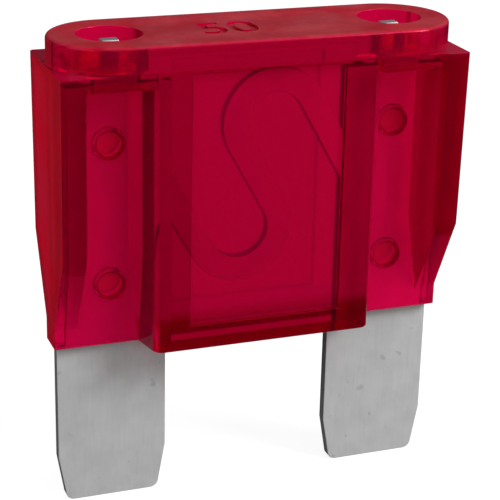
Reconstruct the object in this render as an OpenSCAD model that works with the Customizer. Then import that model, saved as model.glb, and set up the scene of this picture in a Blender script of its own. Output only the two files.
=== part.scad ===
/* [Blades] */
// Thickness of the stamped sheet
sheet_t = 0.8; // [0.6:0.05:1]
// Width of each blade
blade_w = 8; // [7:0.1:8.8]
// Distance between the centre lines of the two blades
blade_pitch = 20.6; // [20:0.1:22]
// Length of blade below the housing
blade_drop = 12.35; // [8:0.05:16]
// Length over which a blade narrows towards its tip
tip_taper_l = 3.5; // [2:0.1:5]
// How far each side of a blade comes in at its tip
tip_inset = 0.5; // [0.3:0.05:1.5]
// Radius of the corners of a blade's tip
tip_corner_r = 0.65; // [0.3:0.05:1.2]
// How far the outer edge of each blade steps in where it enters the housing
blade_step = 0.6; // [0.4:0.05:1]
// Width of the shoulder on top of each blade
shoulder_w = 3; // [2:0.1:3.6]
// Height of the shoulder
shoulder_h = 0.8; // [0.4:0.1:1.4]
// Width of the probe tip that stands in the probe hole
probe_tip_w = 1.2; // [0.8:0.1:1.8]
// Depth of the probe tip below the top of the head
probe_tip_sink = 0.4; // [0.2:0.05:1]

/* [Link] */
// Width of the S-shaped link
link_w = 1.75; // [1.2:0.05:2.2]
// Radius of the middle line of the link's two bends
link_r = 3; // [2.4:0.05:3.2]
// Sideways distance from the middle of the link to the centre of a bend
bend_x = 1.3; // [1:0.05:1.6]
// Height from the middle of the link to the centre of a bend
bend_z = 3.8; // [3.4:0.05:4.2]
// Height of the middle of the link above the housing's underside
link_z = 11.65; // [11:0.05:12]

/* [Head] */
// How far the round ends of the head stand inside the outer faces of the rails
head_inset = 0.175; // [0.05:0.025:0.6]
// Depth of the head from front to back
head_d = 8.7; // [7.8:0.1:10]
// Thickness of the head
head_h = 1.9; // [1.4:0.1:3]
// Height of the underside of the head above the housing's underside
head_z = 20.15; // [20:0.05:26]
// Radius of the rim round the top of the head
head_rim_r = 0.3; // [0.1:0.05:0.5]
// Diameter of the two probe holes
probe_d = 4.5; // [3.6:0.1:5]
// Depth of the probe holes
probe_depth = 2.1; // [1.6:0.1:2.6]
// How far a probe hole stands inside the centre line of its blade
probe_shift = 0.1; // [0:0.05:0.5]

/* [Centre block] */
// Width of the front of the block
block_w = 16.06; // [14:0.1:16.6]
// Depth of the block from front to back
block_d = 7.66; // [6.4:0.1:8.6]
// How far each side of the block spreads from its front to the web
block_flare = 0.55; // [0:0.05:0.8]
// Radius of the block's upright corners
block_corner_r = 0.8; // [0.3:0.05:1]
// Width of the gusset that braces the web against each side of the block
gusset_w = 0.7; // [0.3:0.05:0.75]
// Depth of the gusset in front of the web
gusset_d = 1; // [0.5:0.05:1.4]
// Height above the underside at which the gusset reaches its full size
gusset_z = 6; // [3:0.5:9]
// Share of the gusset's size that is left at the underside
gusset_foot = 0.2; // [0.1:0.05:1]
// Width of the shallow window in the front and back of the block
window_w = 11.1; // [8:0.1:12]
// Height of the foot of the window above the housing's underside
window_z = 1.85; // [1:0.05:4]
// Depth of the window
window_depth = 0.3; // [0.1:0.05:0.6]

/* [Wings] */
// How far the outer face of a rail stands outside the edge of the blade below it
rail_margin = 0.325; // [0.1:0.025:0.8]
// Depth of a rail from front to back, at its top
rail_d = 8.8; // [7.8:0.05:10]
// How much a rail's depth draws in from its top to the knee
rail_draft = 0.55; // [0:0.05:1]
// Width of the front of a rail
rail_face_w = 1.65; // [1.2:0.05:2.2]
// Sideways slope of a rail's inner face
rail_slope = 0.29; // [0.1:0.01:0.45]
// Height of the knee, where a rail starts to draw in towards the web
knee_z = 7.4; // [5:0.1:10]
// Height at which a rail runs out into the web
runout_z = 1.3; // [1:0.1:3]
// Thickness of the web between rail and block
web_t = 2.3; // [2.1:0.05:3]
// Chamfer on the outer upright edges of a rail
rail_edge = 0.2; // [0.05:0.05:0.4]
// Thickness of the shelf between the pockets and the head
shelf_h = 1.05; // [0.6:0.05:2]
// How far the front and back of the shelf stand inside the head
shelf_inset = 0.1; // [0.05:0.05:0.5]

/* [Stakes] */
// How far the stakes stand outside the centre line of their blade
stake_shift = 0.2; // [0:0.05:0.5]
// Height of the lower stakes
stake_low_z = 4.4; // [3:0.1:6]
// Height of the upper stakes
stake_high_z = 14.6; // [12:0.1:16]
// Diameter of the stakes, which pass through holes in the blades
stake_d = 3; // [2.7:0.1:3.6]
// Diameter of the dimple that the staking tool leaves in each end of a stake
dimple_d = 2.35; // [1.8:0.05:2.4]
// Depth of the dimples
dimple_depth = 0.85; // [0.5:0.05:0.95]

/* [Fits] */
// Gap between the sheet and each wall of the housing's slot
slot_gap = 0.08; // [0.04:0.01:0.12]
// Gap between the edges of the element and the ends of the slot
edge_gap = 0.12; // [0.05:0.01:0.2]
// Gap between a stake and the edge of its hole
stake_gap = 0.05; // [0.02:0.01:0.1]

/* [Hidden] */
$fn = 64;
eps = 0.01;
head_top = head_z + head_h;
shelf_z = head_z - shelf_h;
blade_x = blade_pitch / 2;
blade_out_x = blade_x + blade_w / 2;
blade_in_x = blade_x - blade_w / 2;
probe_floor_z = head_top - probe_depth;
slot_t = sheet_t + 2 * slot_gap;
blade_top_z = probe_floor_z - shoulder_h - edge_gap;
stake_hole_d = stake_d + 2 * stake_gap;
rail_x = blade_out_x + rail_margin;
rail_in_x = rail_x - rail_face_w;
head_l = 2 * (rail_x - head_inset);
stake_x = blade_x + stake_shift;
// The link's straight runs lie along link_dir, and link_side points across them.
link_lean = atan2(bend_z, bend_x) - acos(link_r / norm([bend_x, bend_z]));
link_side = [cos(link_lean), sin(link_lean)];
link_dir = [sin(link_lean), -cos(link_lean)];
link_top_z = link_z + bend_z + link_r + link_w / 2;
slot_top_z = max(link_top_z, blade_top_z) + edge_gap;

// Half depth of a rail at its top, at its knee and where it runs out.
function rail_half(z) =
    z > knee_z
        ? rail_d / 2 - rail_draft / 2 * (head_z - z) / (head_z - knee_z)
        : (rail_d - rail_draft) / 2
            - ((rail_d - rail_draft) / 2 - web_t / 2) * (knee_z - z) / (knee_z - runout_z);

// Points along an arc from one angle to another.
function arc(centre, r, from, to, steps) =
    [for (i = [0:steps]) let(a = from + (to - from) * i / steps) centre + r * [cos(a), sin(a)]];

// Lays a flat drawing upright, with its own Y along Z, and gives it a thickness about y = 0.
module upright(t) {
    rotate([90, 0, 0])
        translate([0, 0, -t / 2])
            linear_extrude(t)
                children();
}

module both_sides() {
    children();
    mirror([1, 0, 0]) children();
}

module at_stakes() {
    for (side = [-1, 1], z = [stake_low_z, stake_high_z])
        translate([side * stake_x, 0, z])
            rotate([90, 0, 0])
                children();
}

// Outline of the head's rim from the middle out: a half profile with a round upper edge.
module rim_profile(reach) {
    square([reach, head_h - head_rim_r]);
    square([reach - head_rim_r, head_h]);
    translate([reach - head_rim_r, head_h - head_rim_r]) circle(head_rim_r);
}

module head() {
    run = head_l - head_d;
    translate([0, 0, head_z]) {
        for (side = [-1, 1])
            translate([side * run / 2, 0, 0])
                rotate_extrude($fn = 128)
                    rim_profile(head_d / 2);
        translate([-run / 2, 0, 0])
            rotate([90, 0, 90])
                linear_extrude(run) {
                    rim_profile(head_d / 2);
                    mirror([1, 0]) rim_profile(head_d / 2);
                }
    }
}

// One quarter of the block's plan, with its upright corner rounded.
module block_quarter() {
    half_w = block_w / 2;
    half_d = block_d / 2;
    slant = atan2(block_flare, half_d - web_t / 2);
    r = block_corner_r;
    corner_x = half_w - r * (1 - sin(slant)) / cos(slant);
    corner_y = half_d - r;
    polygon([
        [0, 0],
        [half_w + block_flare, 0],
        [half_w + block_flare, web_t / 2],
        [corner_x + r * cos(slant), corner_y + r * sin(slant)],
        [corner_x, corner_y],
        [corner_x, half_d],
        [0, half_d],
    ]);
    translate([corner_x, corner_y]) circle(r);
}

module block() {
    linear_extrude(head_z + eps)
        for (turn = [0, 1], flip = [0, 1])
            mirror([turn, 0]) mirror([0, flip]) block_quarter();
}

// The shallow windows in the front and back of the block, which run up to the head.
module windows() {
    for (side = [0, 1])
        mirror([0, side, 0])
            translate([-window_w / 2, -block_d / 2 - 1, window_z])
                cube([window_w, window_depth + 1, head_z - window_z - window_depth]);
}

// Plan of a rail at height z: full depth at the outer face, narrower towards the web.
module rail_plan(z) {
    half = rail_half(z);
    root_x = rail_in_x - rail_slope * (half - web_t / 2);
    translate([0, 0, z])
        linear_extrude(eps)
            polygon([
                [rail_x - rail_edge, -half],
                [rail_x, -half + rail_edge],
                [rail_x, half - rail_edge],
                [rail_x - rail_edge, half],
                [rail_in_x, half],
                [root_x, web_t / 2],
                [root_x, -web_t / 2],
                [rail_in_x, -half],
            ]);
}

module rail() {
    hull()
        for (z = [head_z - eps, knee_z, runout_z])
            rail_plan(z);
}

// A gusset between the web and one side of the block, tapering away towards the underside.
module gusset() {
    root_x = block_w / 2 + block_flare;
    hull()
        for (level = [[shelf_z, 1], [gusset_z, 1], [0, gusset_foot]])
            translate([0, 0, level[0]])
                linear_extrude(eps)
                    polygon([
                        [root_x - block_flare, -web_t / 2 - gusset_d * level[1]],
                        [root_x + gusset_w * level[1], -web_t / 2],
                        [root_x + gusset_w * level[1], web_t / 2],
                        [root_x - block_flare, web_t / 2 + gusset_d * level[1]],
                    ]);
}

// The web that covers the blades, from one rail to the other.
module web() {
    translate([-rail_x, -web_t / 2, 0])
        cube([2 * rail_x, web_t, head_z]);
}

// The shelf between rail and block, over the pockets and under the head.
module shelf() {
    shelf_d = head_d - 2 * shelf_inset;
    translate([block_w / 2, -shelf_d / 2, shelf_z])
        cube([rail_in_x - block_w / 2, shelf_d, shelf_h]);
}

// The thin slot that takes the element from below, with room for the shoulders and probe tips.
module slot() {
    upright(slot_t) {
        translate([-blade_out_x + blade_step - edge_gap, -1])
            square([2 * (blade_out_x - blade_step + edge_gap), slot_top_z + 1]);
        for (side = [-1, 1])
            translate([side * blade_x - shoulder_w / 2 - edge_gap, slot_top_z - eps])
                square([shoulder_w + 2 * edge_gap, probe_floor_z - slot_top_z + 2 * eps]);
    }
}

module probe_holes() {
    for (side = [-1, 1])
        translate([side * (blade_x - probe_shift), 0, probe_floor_z])
            cylinder(d = probe_d, h = probe_depth + 1);
}

module housing() {
    color("crimson")
        difference() {
            union() {
                difference() {
                    union() {
                        head();
                        block();
                        web();
                        both_sides() {
                            rail();
                            shelf();
                            gusset();
                        }
                    }
                    windows();
                    slot();
                    probe_holes();
                }
                at_stakes() cylinder(d = stake_d, h = web_t, center = true);
            }
            at_stakes()
                for (side = [-1, 1])
                    translate([0, 0, side * (web_t / 2 - dimple_depth + 1)])
                        cylinder(d = dimple_d, h = 2, center = true);
        }
}

// The right-hand blade, from its rounded tip up to its shoulder and probe tip.
module blade() {
    half = blade_w / 2;
    tip_half = half - tip_inset;
    tip_z = -blade_drop;
    r = tip_corner_r;
    shoulder_z = blade_top_z + shoulder_h;
    probe_z = head_top - probe_tip_sink;
    probe_in_x = -probe_shift - probe_tip_w / 2;
    probe_out_x = probe_in_x + probe_tip_w;
    translate([blade_x, 0, 0])
        upright(sheet_t)
            polygon(concat(
                [[-half, blade_top_z], [-half, tip_z + tip_taper_l]],
                arc([-tip_half + r, tip_z + r], r, 180, 270, 6),
                arc([tip_half - r, tip_z + r], r, 270, 360, 6),
                [[half, tip_z + tip_taper_l], [half, 0], [half - blade_step, 0]],
                [[half - blade_step, blade_top_z], [shoulder_w / 2, blade_top_z]],
                [[shoulder_w / 2, shoulder_z], [probe_out_x, shoulder_z]],
                [[probe_out_x, probe_z], [probe_in_x, probe_z]],
                [[probe_in_x, shoulder_z], [-shoulder_w / 2, shoulder_z]],
                [[-shoulder_w / 2, blade_top_z]]
            ));
}

// The S-shaped link. Its upper half runs round the upper bend and down to the right-hand blade,
// and its lower half is the same outline turned half round.
module link() {
    centre = [bend_x, bend_z];
    crown = centre + link_r * link_side;
    half_w = link_w / 2 * link_side;
    end_x = blade_in_x + link_w / 2;
    outer_end = crown + half_w + (end_x - crown[0] - half_w[0]) / link_dir[0] * link_dir;
    inner_end = crown - half_w + (end_x - crown[0] + half_w[0]) / link_dir[0] * link_dir;
    upper = concat(
        arc(centre, link_r + link_w / 2, 180 + link_lean, link_lean, 36),
        [outer_end, inner_end],
        arc(centre, link_r - link_w / 2, link_lean, 180 + link_lean, 36)
    );
    translate([0, 0, link_z])
        upright(sheet_t)
            polygon(concat(upper, -upper));
}

module fuse_element() {
    color("lightgray")
        difference() {
            union() {
                both_sides() blade();
                link();
            }
            at_stakes() cylinder(d = stake_hole_d, h = 2 * sheet_t, center = true);
        }
}

housing();
fuse_element();
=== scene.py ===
"""The looks of a large plug-in blade fuse: a clear red moulded housing on two zinc blades."""

import math
from types import SimpleNamespace

import bmesh
import bpy
from mathutils import Matrix, Vector

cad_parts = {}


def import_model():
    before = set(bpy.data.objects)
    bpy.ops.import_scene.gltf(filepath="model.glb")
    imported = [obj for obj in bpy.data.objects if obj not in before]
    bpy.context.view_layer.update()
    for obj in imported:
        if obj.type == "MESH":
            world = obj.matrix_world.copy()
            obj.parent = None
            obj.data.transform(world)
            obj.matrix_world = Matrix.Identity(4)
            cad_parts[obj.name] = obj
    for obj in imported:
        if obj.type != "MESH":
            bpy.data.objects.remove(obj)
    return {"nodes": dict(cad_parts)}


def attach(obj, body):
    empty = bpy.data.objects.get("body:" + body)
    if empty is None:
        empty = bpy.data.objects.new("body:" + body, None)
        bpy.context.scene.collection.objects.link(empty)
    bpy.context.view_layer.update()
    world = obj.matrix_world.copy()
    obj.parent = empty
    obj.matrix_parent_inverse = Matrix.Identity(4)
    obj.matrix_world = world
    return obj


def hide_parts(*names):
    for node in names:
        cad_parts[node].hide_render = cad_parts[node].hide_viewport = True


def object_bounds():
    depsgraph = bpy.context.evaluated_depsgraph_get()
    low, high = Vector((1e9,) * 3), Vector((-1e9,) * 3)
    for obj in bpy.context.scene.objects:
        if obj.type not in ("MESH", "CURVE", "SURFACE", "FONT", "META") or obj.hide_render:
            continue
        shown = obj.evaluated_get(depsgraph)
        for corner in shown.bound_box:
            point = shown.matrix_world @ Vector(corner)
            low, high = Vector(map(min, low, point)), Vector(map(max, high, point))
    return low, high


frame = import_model()
cad_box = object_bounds()

MM = 0.001


def grey(level):
    """A grey colour from black at 0 to white at 1."""
    return level, level, level, 1


def border(start, end):
    """A soft border between two places in millimetres: 0 at the first and 1 at the second."""
    return start * MM, end * MM


# The camera stands where the photograph's did. Angles are in degrees, sensor and lens in millimetres.
VIEW_TURN = 20.66
VIEW_DROP = 20.80
VIEW_ROLL = 1.375
VIEW_DISTANCE = 119.0 * MM
VIEW_TARGET = Vector((0.18, 0, 5.48)) * MM
VIEW_NEAREST = 1 * MM
VIEW_FARTHEST = 10
SENSOR_W = 36
LENS = 118.9

# The floor lies just under the tips of the blades.
FLOOR_GAP = 0.02 * MM
FLOOR_Z = cad_box[0][2] - FLOOR_GAP
FLOOR_HALF = 400 * MM

# The mould and the press leave the outer edges slightly round.
HOUSING_EDGE = 0.09 * MM
SHEET_EDGE = 0.06 * MM
EDGE_STEPS = 3
EDGE_PROFILE = 0.5
WELD = 0.015 * MM
FLAT_ANGLE = math.radians(0.5)

# Only edges that stand out at least this sharply, and are at least this long, are rounded.
OUTER_ANGLE = math.radians(24)
OUTER_LENGTH = 0.06 * MM

# The slot for the sheet, the rims in the web and the ledge under the head keep their sharp edges.
SHARP_SLOT_HALF = 0.6 * MM
SHARP_WEB_HALF = 1.2 * MM
SHARP_WEB_Z = (2 * MM, 17 * MM)
SHARP_LEDGE_Z = (19.8 * MM, 20.4 * MM)

# Edges flatter than this shade smoothly, and the larger a face is, the more its direction counts.
SMOOTH_ANGLE = math.radians(35)
FACE_WEIGHT = 100

# The stakes and their holes show slimmer than the solids, and the dimples shallow with sloping walls.
# What lies within STAKE_REACH of a stake's axis belongs to it, and within STAKE_INNER to its dimples.
# Each share is what is left of a point's distance from the axis.
STAKE_X = 10.5 * MM
STAKE_Z = (4.4 * MM, 14.6 * MM)
STAKE_REACH = 1.7 * MM
STAKE_INNER = 1.3 * MM
STAKE_SHARE = 0.76
DIMPLE_FLOOR = 0.3 * MM
DIMPLE_FLOOR_SHOWN = 0.85 * MM
DIMPLE_FLOOR_SHARE = 0.74
DIMPLE_MOUTH_SHARE = 0.93

# The rating is a plain number sunk in the top of the head.
RATING = "50"
RATING_SIZE = 4.3 * MM
RATING_MIDDLE = (-2.0 * MM, -0.6 * MM)
RATING_DEPTH = 0.2 * MM
RATING_BOLD = 0.06 * MM
RATING_WELD = 0.003 * MM

# Borders of the places where the plastic differs. Depths count from the plane of the sheet,
# sides from the middle of the part, and heights from the housing's underside.
SLOT_WALL_DEPTHS = (border(0.40, 0.44), border(0.56, 0.52))
DIMPLE_DEPTHS = (border(0.78, 0.82), border(1.14, 1.12))
WINDOW_STEP_DEPTHS = (border(3.51, 3.55), border(3.82, 3.79))
WEB_DEPTH = border(1.4, 1.25)
WINDOW_DEPTH = border(3.75, 3.6)
WINDOW_STEP_SIDE = border(5.9, 5.7)
BLOCK_SIDE = border(8.6, 8.3)
DIMPLE_SIDE = border(8.6, 8.8)
END_SIDE = border(14.2, 14.5)
LIP_Z = border(1.8, 1.6)
SLOT_LIT_Z = border(1.2, 2.0)
SHELF_Z = border(18, 19)
HEAD_Z = border(19.9, 20.3)
TOP_Z = border(21.4, 21.8)

# How far a face's direction has to point along an axis: 0 at the first share and 1 at the second.
FACING_UP = (0.3, 0.95)
FACING_END = (0.8, 0.95)
FACING_FRONT = (0.7, 0.8)
FACING_ASIDE = (0.98, 0.88)

# The plastic's colours, by place. The top and the ends are frosted, with paler patches.
# The top's colours are painted darker as shade, to offset the stronger light that falls on it from
# above.
# The slot's walls are white except low in the block, so that they don't tint the zinc behind them;
# low in the block they are a darker red, as painted shade.
RED = (1.0, 0.004, 0.10, 1)
RED_HEAD = (0.96, 0.003, 0.09, 1)
RED_TOP_SHADED = (0.56, 0.01, 0.03, 1)
RED_TOP_SHADED_PALE = (0.66, 0.08, 0.10, 1)
RED_END = (0.90, 0.004, 0.025, 1)
RED_END_PALE = (0.80, 0.02, 0.05, 1)
# Painted shade: the band low on the block is a darker red.
RED_LIP_SHADE = (0.74, 0.003, 0.10, 1)
RED_SLOT_LOW_SHADE = (0.5, 0.002, 0.02, 1)
RED_DIMPLE = (0.80, 0.003, 0.055, 1)
# Painted shade on the walls of the dimples and of the window's steps.
RED_STEP_SHADE = (0.42, 0.001, 0.02, 1)
WHITE = grey(1)
PATCHES = dict(scale=260, detail=5, roughness=0.7)
PATCH_RANGE = (0.35, 0.7)

# How cloudy the plastic is, by place: 0 is clear and 1 lets nothing through.
HAZE = 0.02
HAZE_WINDOW = 0.15
HAZE_WEB = 0.25
HAZE_HEAD = 0.12
HAZE_SHELF = 0.3
HAZE_DIMPLE = 0.6
HAZE_FROST = 0.5
HAZE_SLOT_WALL = 0.0

# The plastic's gloss, its fine ripple and the colour that it takes on with depth.
ROUGH = 0.14
ROUGH_HEAD = 0.15
ROUGH_FROST = 0.4
RIPPLE = dict(scale=900, detail=2)
RIPPLE_STRENGTH = 0.12
RIPPLE_HEIGHT = 0.1 * MM
PLASTIC_IOR = 1.58
GLOSS_TINT = (1, 0.05, 0.15, 1)
DEPTH_TINT = (0.90, 0.0, 0.80, 1)
DEPTH_DENSITY = 1000

# The zinc's tones: bare below the housing; behind the plastic, brighter as painted light;
# in the probe holes, nearly black as painted shade; and on cut edges, dark as painted shade on the
# dull sheared metal.
ZINC_BARE = 0.48
ZINC_COVERED_LIT = 0.83
ZINC_COVERED_LIT_PALE = 0.98
# Painted shade: the zinc is nearly black in the probe holes, below the tips' tops.
ZINC_HOLE_SHADE = 0.02
# The cut edges are dark: painted shade, on top of the sheared metal's own dullness.
ZINC_CUT_SHADE = 0.2

# The zinc behind the plastic is a little darker towards -X, as the photograph shows it.
# This darkening is painted shade, for light that falls more strongly from +X.
ZINC_LEFT_SHADE_SHARE = 0.74
ZINC_SIDES = border(-12, 12)

# Borders of the zinc's tones, by height and by direction.
COVERED_FROM_Z = border(-0.1, 0.1)
COVERED_TO_Z = border(20, 20.2)
HOLE_Z = (border(18.9, 20.2), border(21.5, 21.4))
ZINC_FACING_FRONT = (0.35, 0.85)

# The zinc's patterns, and how much of each goes into the tone of the bare blades.
MOTTLE = dict(scale=700, detail=6, roughness=0.6)
MOTTLE_SHARE = 0.16
GRAIN = dict(scale=6000, detail=3)
GRAIN_STRETCH = (1, 1, 0.08)
GRAIN_SHARE = 0.08
SPECKS = dict(scale=1300, detail=1)
SPECK_RANGE = (0.27, 0.20)
SPECK_SHARE = -0.12
COVERED_PATCHES = dict(scale=500, detail=4, roughness=0.6)
COVERED_STRETCH = (1, 1, 0.5)
COVERED_RANGE = (0.3, 0.7)

# The zinc's sheen.
ZINC_METALLIC = 0.3
ZINC_ROUGH = (0.42, 0.62)
GRAIN_STRENGTH = 0.15
GRAIN_HEIGHT = 0.02 * MM

# How bright the floor and the world are to a ray from a dull surface, from a gloss,
# through the plastic and from the camera.
FLOOR_LEVELS = dict(plain=0, glossy=0, through=0.65, seen=0.85)
FLOOR_TONE = 0.25
WORLD_LEVELS = dict(plain=0.5, glossy=0.12, through=1.45, seen=1)

# The world grows brighter towards one side, but not where the camera sees it.
BRIGHT_SIDE = (0.6, -0.75, 0.25)
BRIGHT_RANGE = (-0.7, 1.0)
BRIGHT = 1.6
DIM = 0.5
DIM_GLOSSY = 0.15

# The lamps are square and aimed at the origin, with sizes in metres and power in watts.
KEY_LAMP = dict(place=(0.12, -0.10, 0.12), size=0.08, watts=0.32)
FILL_LAMP = dict(place=(-0.3, -0.1, 0.2), size=0.3, watts=0.6)


def link(obj):
    bpy.context.scene.collection.objects.link(obj)
    return obj


def camera():
    turn, drop, roll = (math.radians(a) for a in (VIEW_TURN, VIEW_DROP, VIEW_ROLL))
    forward = Vector((
        math.sin(turn) * math.cos(drop),
        math.cos(turn) * math.cos(drop),
        -math.sin(drop),
    ))
    level_right = Vector((math.cos(turn), -math.sin(turn), 0))
    level_up = level_right.cross(forward)
    right = level_right * math.cos(roll) + level_up * math.sin(roll)
    up = level_up * math.cos(roll) - level_right * math.sin(roll)
    data = bpy.data.cameras.new("camera")
    data.sensor_width = SENSOR_W
    data.lens = LENS
    data.clip_start = VIEW_NEAREST
    data.clip_end = VIEW_FARTHEST
    cam = link(bpy.data.objects.new("camera", data))
    axes = Matrix((right, up, -forward)).transposed()
    cam.matrix_world = Matrix.Translation(VIEW_TARGET - forward * VIEW_DISTANCE) @ axes.to_4x4()
    bpy.context.scene.camera = cam


def keeps_sharp(node, middle):
    """True where an edge of the housing lies in the slot, on a rim in the web or on the ledge."""
    if node != "housing":
        return False
    inside = abs(middle.x) < cad_box[1][0] - WELD and middle.z < SHARP_LEDGE_Z[1]
    in_slot = abs(middle.y) < SHARP_SLOT_HALF and inside
    in_web = abs(middle.y) < SHARP_WEB_HALF and SHARP_WEB_Z[0] < middle.z < SHARP_WEB_Z[1]
    return in_slot or in_web or SHARP_LEDGE_Z[0] < middle.z < SHARP_LEDGE_Z[1]


def outer_edges(bm, node):
    chosen = []
    for edge in bm.edges:
        middle = (edge.verts[0].co + edge.verts[1].co) / 2
        if edge.calc_face_angle_signed(0) < OUTER_ANGLE or edge.calc_length() < OUTER_LENGTH:
            continue
        if not keeps_sharp(node, middle):
            chosen.append(edge)
    return chosen


def refine_stakes(bm):
    """Draws the stakes and their holes in, lifts the floor of each dimple and slopes its wall."""
    for vert in bm.verts:
        x = math.copysign(STAKE_X, vert.co.x)
        z = min(STAKE_Z, key=lambda height: abs(vert.co.z - height))
        away = Vector((vert.co.x - x, 0, vert.co.z - z))
        y = vert.co.y
        if away.length > STAKE_REACH:
            continue
        if away.length > STAKE_INNER:
            away *= STAKE_SHARE
        elif abs(abs(y) - DIMPLE_FLOOR) < WELD:
            away *= DIMPLE_FLOOR_SHARE
            y = math.copysign(DIMPLE_FLOOR_SHOWN, y)
        else:
            away *= DIMPLE_MOUTH_SHARE
        vert.co = Vector((x, y, z)) + away


def rounded_copy(node, width):
    """A copy of a node's mesh whose outer edges are slightly round."""
    bm = bmesh.new()
    bm.from_mesh(frame["nodes"][node].data)
    bmesh.ops.remove_doubles(bm, verts=bm.verts, dist=WELD)
    bmesh.ops.dissolve_limit(bm, angle_limit=FLAT_ANGLE, verts=bm.verts, edges=bm.edges)
    refine_stakes(bm)
    bmesh.ops.bevel(
        bm,
        geom=outer_edges(bm, node),
        offset=width,
        offset_type="OFFSET",
        segments=EDGE_STEPS,
        profile=EDGE_PROFILE,
        affect="EDGES",
    )
    mesh = bpy.data.meshes.new(node + "_rounded")
    bm.to_mesh(mesh)
    bm.free()
    return link(bpy.data.objects.new(node + "_rounded", mesh))


def evaluated_mesh(obj):
    """The mesh of a text, or of an object with its modifiers."""
    bpy.context.view_layer.update()
    graph = bpy.context.evaluated_depsgraph_get()
    return bpy.data.meshes.new_from_object(obj.evaluated_get(graph))


def apply_modifiers(obj):
    mesh = evaluated_mesh(obj)
    obj.modifiers.clear()
    obj.data = mesh


def rating_cutter(top):
    """A solid in the shape of the number, half sunk in the plane of the head's top."""
    curve = bpy.data.curves.new("rating", "FONT")
    curve.body = RATING
    curve.size = RATING_SIZE
    curve.align_x = "CENTER"
    curve.align_y = "CENTER"
    curve.extrude = RATING_DEPTH
    curve.offset = RATING_BOLD
    text = link(bpy.data.objects.new("rating", curve))
    mesh = evaluated_mesh(text)
    bpy.data.objects.remove(text)
    bm = bmesh.new()
    bm.from_mesh(mesh)
    bmesh.ops.remove_doubles(bm, verts=bm.verts, dist=RATING_WELD)
    bmesh.ops.recalc_face_normals(bm, faces=bm.faces)
    bm.to_mesh(mesh)
    bm.free()
    cutter = link(bpy.data.objects.new("rating_cutter", mesh))
    cutter.location = (RATING_MIDDLE[0], RATING_MIDDLE[1], top)
    return cutter


def cut_rating(obj, top):
    """Sinks the plain number into the top of the head."""
    cutter = rating_cutter(top)
    cut = obj.modifiers.new("rating", "BOOLEAN")
    cut.operation = "DIFFERENCE"
    cut.solver = "EXACT"
    cut.object = cutter
    apply_modifiers(obj)
    bpy.data.objects.remove(cutter)


def smooth(obj):
    """Round faces shade smoothly, and the large flat ones keep their own direction."""
    obj.data.shade_smooth()
    bm = bmesh.new()
    bm.from_mesh(obj.data)
    for edge in bm.edges:
        edge.smooth = edge.calc_face_angle(0) < SMOOTH_ANGLE
    bm.to_mesh(obj.data)
    bm.free()
    weighted = obj.modifiers.new("normals", "WEIGHTED_NORMAL")
    weighted.keep_sharp = True
    weighted.weight = FACE_WEIGHT
    apply_modifiers(obj)


class Graph:
    """Short ways to add the nodes that a material or the world is made of."""

    def __init__(self, tree):
        self.nodes = tree.nodes
        self.links = tree.links

    def feed(self, node, values):
        """Sets or links a node's inputs, each given by its name or its number."""
        for socket, value in values.items():
            if isinstance(value, bpy.types.NodeSocket):
                self.links.new(value, node.inputs[socket])
            else:
                node.inputs[socket].default_value = value
        return node

    def add(self, kind, values):
        return self.feed(self.nodes.new(kind), values)

    def math(self, operation, *values):
        node = self.add("ShaderNodeMath", dict(enumerate(values)))
        node.operation = operation
        return node.outputs["Value"]

    def absolute(self, value):
        return self.math("ABSOLUTE", value)

    def flip(self, value):
        return self.math("SUBTRACT", 1.0, value)

    def times(self, product, *values):
        for value in values:
            product = self.math("MULTIPLY", product, value)
        return product

    def ramp(self, value, low, high):
        """Goes from 0 at low to 1 at high."""
        node = self.add("ShaderNodeMapRange", {"Value": value, "From Min": low, "From Max": high})
        return node.outputs["Result"]

    def between(self, value, near, far):
        """Is 1 from the border near to the border far, and 0 outside them."""
        return self.times(self.ramp(value, *near), self.ramp(value, *far))

    def mix(self, share, a, b, kind="FLOAT"):
        """Goes from a to b as the share goes from 0 to 1."""
        node = self.nodes.new("ShaderNodeMix")
        node.data_type = kind
        self.feed(node, {"Factor": share, "A": a, "B": b})
        return node.outputs["Result"]

    def mix_colour(self, share, a, b):
        return self.mix(share, a, b, "RGBA")

    def layers(self, base, *layers, kind="FLOAT"):
        """Lays values over a base one by one, each with its own share."""
        for share, value in layers:
            base = self.mix(share, base, value, kind)
        return base

    def noise(self, vector, scale, detail, roughness=0.5):
        inputs = {"Vector": vector, "Scale": scale, "Detail": detail, "Roughness": roughness}
        return self.add("ShaderNodeTexNoise", inputs).outputs["Fac"]

    def stretch(self, vector, scale):
        return self.add("ShaderNodeMapping", {"Vector": vector, "Scale": scale}).outputs["Vector"]

    def dot(self, a, b):
        node = self.add("ShaderNodeVectorMath", {0: a, 1: b})
        node.operation = "DOT_PRODUCT"
        return node.outputs["Value"]

    def parts(self, vector):
        node = self.add("ShaderNodeSeparateXYZ", {"Vector": vector})
        return [node.outputs[axis] for axis in "XYZ"]

    def surface(self):
        """The place and the direction of the surface."""
        node = self.nodes.new("ShaderNodeNewGeometry")
        return node.outputs["Position"], node.outputs["Normal"]

    def bump(self, height, strength, distance):
        inputs = {"Height": height, "Strength": strength, "Distance": distance}
        return self.add("ShaderNodeBump", inputs).outputs["Normal"]

    def rays(self):
        """What kind of ray is traced, each kind as 0 or 1."""
        return self.nodes.new("ShaderNodeLightPath").outputs


def new_material(name):
    """A material, its graph and its shader."""
    material = bpy.data.materials.new(name)
    material.use_nodes = True
    graph = Graph(material.node_tree)
    return material, graph, graph.nodes["Principled BSDF"]


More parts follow.
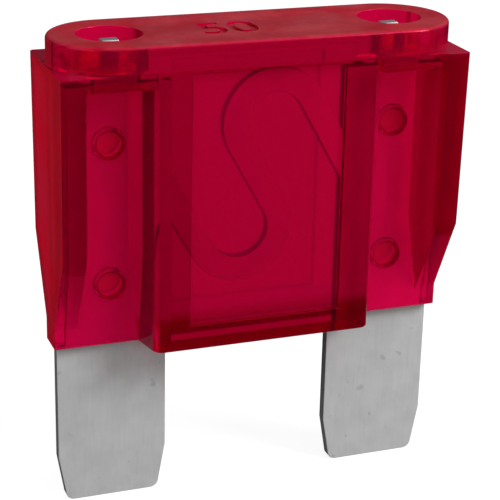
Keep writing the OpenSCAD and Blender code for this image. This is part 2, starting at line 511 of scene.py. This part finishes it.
def plastic_places(graph):
    """The places where the plastic differs, each as a share from 0 to 1."""
    place, normal = graph.surface()
    x, y, z = graph.parts(place)
    side = graph.absolute(x)
    depth = graph.absolute(y)
    facing_x, facing_y, facing_z = graph.parts(normal)
    facing_front = graph.absolute(facing_y)
    up = graph.ramp(facing_z, *FACING_UP)
    top = graph.times(up, graph.ramp(z, *TOP_Z))
    end = graph.times(graph.ramp(side, *END_SIDE), graph.ramp(graph.absolute(facing_x), *FACING_END))
    in_block = graph.ramp(side, *BLOCK_SIDE)
    dimple = graph.times(graph.between(depth, *DIMPLE_DEPTHS), graph.ramp(side, *DIMPLE_SIDE))
    window_step = graph.times(
        graph.between(depth, *WINDOW_STEP_DEPTHS),
        graph.ramp(side, *WINDOW_STEP_SIDE),
    )
    step = graph.times(
        graph.math("MAXIMUM", dimple, window_step),
        graph.ramp(facing_front, *FACING_ASIDE),
    )
    slot_wall = graph.times(
        graph.between(depth, *SLOT_WALL_DEPTHS),
        graph.ramp(facing_front, *FACING_FRONT),
    )
    return SimpleNamespace(
        place=place,
        window=graph.ramp(depth, *WINDOW_DEPTH),
        web=graph.ramp(depth, *WEB_DEPTH),
        head=graph.ramp(z, *HEAD_Z),
        shelf=graph.times(up, graph.ramp(z, *SHELF_Z)),
        top=top,
        end=end,
        frosted=graph.math("MAXIMUM", top, end),
        lip=graph.times(graph.ramp(z, *LIP_Z), in_block),
        dimple=dimple,
        step=step,
        slot_wall=slot_wall,
        slot_lit=graph.math("MAXIMUM", graph.ramp(z, *SLOT_LIT_Z), graph.flip(in_block)),
    )


def plastic_colour(graph, at):
    pale = graph.ramp(graph.noise(at.place, **PATCHES), *PATCH_RANGE)
    return graph.layers(
        RED,
        (at.head, RED_HEAD),
        (at.lip, RED_LIP_SHADE),
        (at.dimple, RED_DIMPLE),
        (at.step, RED_STEP_SHADE),
        (at.top, graph.mix_colour(pale, RED_TOP_SHADED, RED_TOP_SHADED_PALE)),
        (at.end, graph.mix_colour(pale, RED_END, RED_END_PALE)),
        (at.slot_wall, graph.mix_colour(at.slot_lit, RED_SLOT_LOW_SHADE, WHITE)),
        kind="RGBA",
    )


def plastic_haze(graph, at):
    return graph.layers(
        HAZE,
        (at.window, HAZE_WINDOW),
        (at.web, HAZE_WEB),
        (at.dimple, HAZE_DIMPLE),
        (at.head, HAZE_HEAD),
        (at.shelf, HAZE_SHELF),
        (at.frosted, HAZE_FROST),
        (at.slot_wall, HAZE_SLOT_WALL),
    )


def red_plastic():
    """Clear red plastic, cloudier where it is thin and frosted on its top and its ends."""
    material, graph, shader = new_material("clear_red_plastic")
    at = plastic_places(graph)
    ripple = graph.noise(at.place, **RIPPLE)
    graph.feed(shader, {
        "Base Color": plastic_colour(graph, at),
        "Roughness": graph.layers(ROUGH, (at.head, ROUGH_HEAD), (at.frosted, ROUGH_FROST)),
        "Transmission Weight": graph.flip(plastic_haze(graph, at)),
        "IOR": PLASTIC_IOR,
        "Specular Tint": GLOSS_TINT,
        "Normal": graph.bump(ripple, RIPPLE_STRENGTH, RIPPLE_HEIGHT),
    })
    inside = graph.add("ShaderNodeVolumeAbsorption", {"Color": DEPTH_TINT, "Density": DEPTH_DENSITY})
    graph.feed(graph.nodes["Material Output"], {"Volume": inside.outputs["Volume"]})
    return material


def bare_zinc(graph, place, mottle, grain):
    """The tone of the bare blades: mottled, with a fine grain and dark specks."""
    specks = graph.ramp(graph.noise(place, **SPECKS), *SPECK_RANGE)
    tone = ZINC_BARE
    for pattern, share in ((mottle, MOTTLE_SHARE), (grain, GRAIN_SHARE), (specks, SPECK_SHARE)):
        tone = graph.math("ADD", tone, graph.times(pattern, share))
    return tone


def covered_zinc(graph, place, x):
    """The tone behind the plastic: brighter as painted light, in soft patches, and darker towards -X
    as painted shade.
    """
    patches = graph.noise(graph.stretch(place, COVERED_STRETCH), **COVERED_PATCHES)
    tone = graph.mix(graph.ramp(patches, *COVERED_RANGE), ZINC_COVERED_LIT, ZINC_COVERED_LIT_PALE)
    return graph.times(tone, graph.mix(graph.ramp(x, *ZINC_SIDES), ZINC_LEFT_SHADE_SHARE, 1.0))


def zinc():
    """Rolled zinc: dull where it is bare, brighter inside the housing as painted light, nearly black
    in the probe holes as painted shade, and dark where it was cut, as painted shade on the dull
    sheared metal.
    """
    material, graph, shader = new_material("zinc_sheet")
    place, normal = graph.surface()
    x, _, z = graph.parts(place)
    mottle = graph.noise(place, **MOTTLE)
    grain = graph.noise(graph.stretch(place, GRAIN_STRETCH), **GRAIN)
    covered = graph.math("SUBTRACT", graph.ramp(z, *COVERED_FROM_Z), graph.ramp(z, *COVERED_TO_Z))
    face = graph.layers(
        bare_zinc(graph, place, mottle, grain),
        (covered, covered_zinc(graph, place, x)),
        (graph.between(z, *HOLE_Z), ZINC_HOLE_SHADE),
    )
    front = graph.ramp(graph.absolute(graph.parts(normal)[1]), *ZINC_FACING_FRONT)
    graph.feed(shader, {
        "Base Color": graph.mix_colour(front, grey(ZINC_CUT_SHADE), face),
        "Metallic": ZINC_METALLIC,
        "Roughness": graph.mix(mottle, *ZINC_ROUGH),
        "Normal": graph.bump(grain, GRAIN_STRENGTH, GRAIN_HEIGHT),
    })
    return material


def level_by_ray(graph, rays, plain, glossy, through, seen):
    """A level that depends on what sent the ray."""
    return graph.layers(
        plain,
        (rays["Is Glossy Ray"], glossy),
        (rays["Is Transmission Ray"], through),
        (rays["Is Camera Ray"], seen),
    )


def backdrop_white():
    """White to the camera, with a soft shadow under the object and nothing for a gloss to mirror."""
    material, graph, shader = new_material("white")
    rays = graph.rays()
    graph.feed(shader, {
        "Base Color": graph.mix_colour(rays["Is Glossy Ray"], grey(FLOOR_TONE), grey(0)),
        "Roughness": 1,
        "Specular IOR Level": 0,
        "Emission Color": WHITE,
        "Emission Strength": level_by_ray(graph, rays, **FLOOR_LEVELS),
    })
    return material


def world():
    """A white room that is brighter towards one side."""
    data = bpy.data.worlds.new("studio")
    data.use_nodes = True
    graph = Graph(data.node_tree)
    rays = graph.rays()
    direction = graph.nodes.new("ShaderNodeTexCoord").outputs["Generated"]
    toward = graph.ramp(graph.dot(direction, BRIGHT_SIDE), *BRIGHT_RANGE)
    shade = graph.mix(toward, graph.mix(rays["Is Glossy Ray"], DIM, DIM_GLOSSY), BRIGHT)
    level = level_by_ray(graph, rays, **WORLD_LEVELS)
    strength = graph.mix(rays["Is Camera Ray"], graph.times(level, shade), level)
    graph.feed(graph.nodes["Background"], {"Color": WHITE, "Strength": strength})
    bpy.context.scene.world = data


def lamp(name, place, size, watts):
    data = bpy.data.lights.new(name, "AREA")
    data.shape = "SQUARE"
    data.size = size
    data.energy = watts
    obj = link(bpy.data.objects.new(name, data))
    obj.location = place
    obj.rotation_euler = (-Vector(place)).to_track_quat("-Z", "Y").to_euler()


def floor():
    corners = [(-1, -1), (1, -1), (1, 1), (-1, 1)]
    points = [(x * FLOOR_HALF, y * FLOOR_HALF, FLOOR_Z) for x, y in corners]
    mesh = bpy.data.meshes.new("floor")
    mesh.from_pydata(points, [], [range(len(points))])
    mesh.materials.append(backdrop_white())
    link(bpy.data.objects.new("floor", mesh))


def piece(node, width, material):
    """Shows a node with slightly round edges and its material. The housing gets its number too."""
    obj = rounded_copy(node, width)
    if node == "housing":
        cut_rating(obj, cad_box[1][2])
    smooth(obj)
    obj.data.materials.clear()
    obj.data.materials.append(material)
    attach(obj, "root")
    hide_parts(node)


camera()
world()
floor()
lamp("key_lamp", **KEY_LAMP)
lamp("fill_lamp", **FILL_LAMP)
piece("housing", HOUSING_EDGE, red_plastic())
piece("fuse_element", SHEET_EDGE, zinc())

bpy.context.scene.view_settings.view_transform = "Standard"
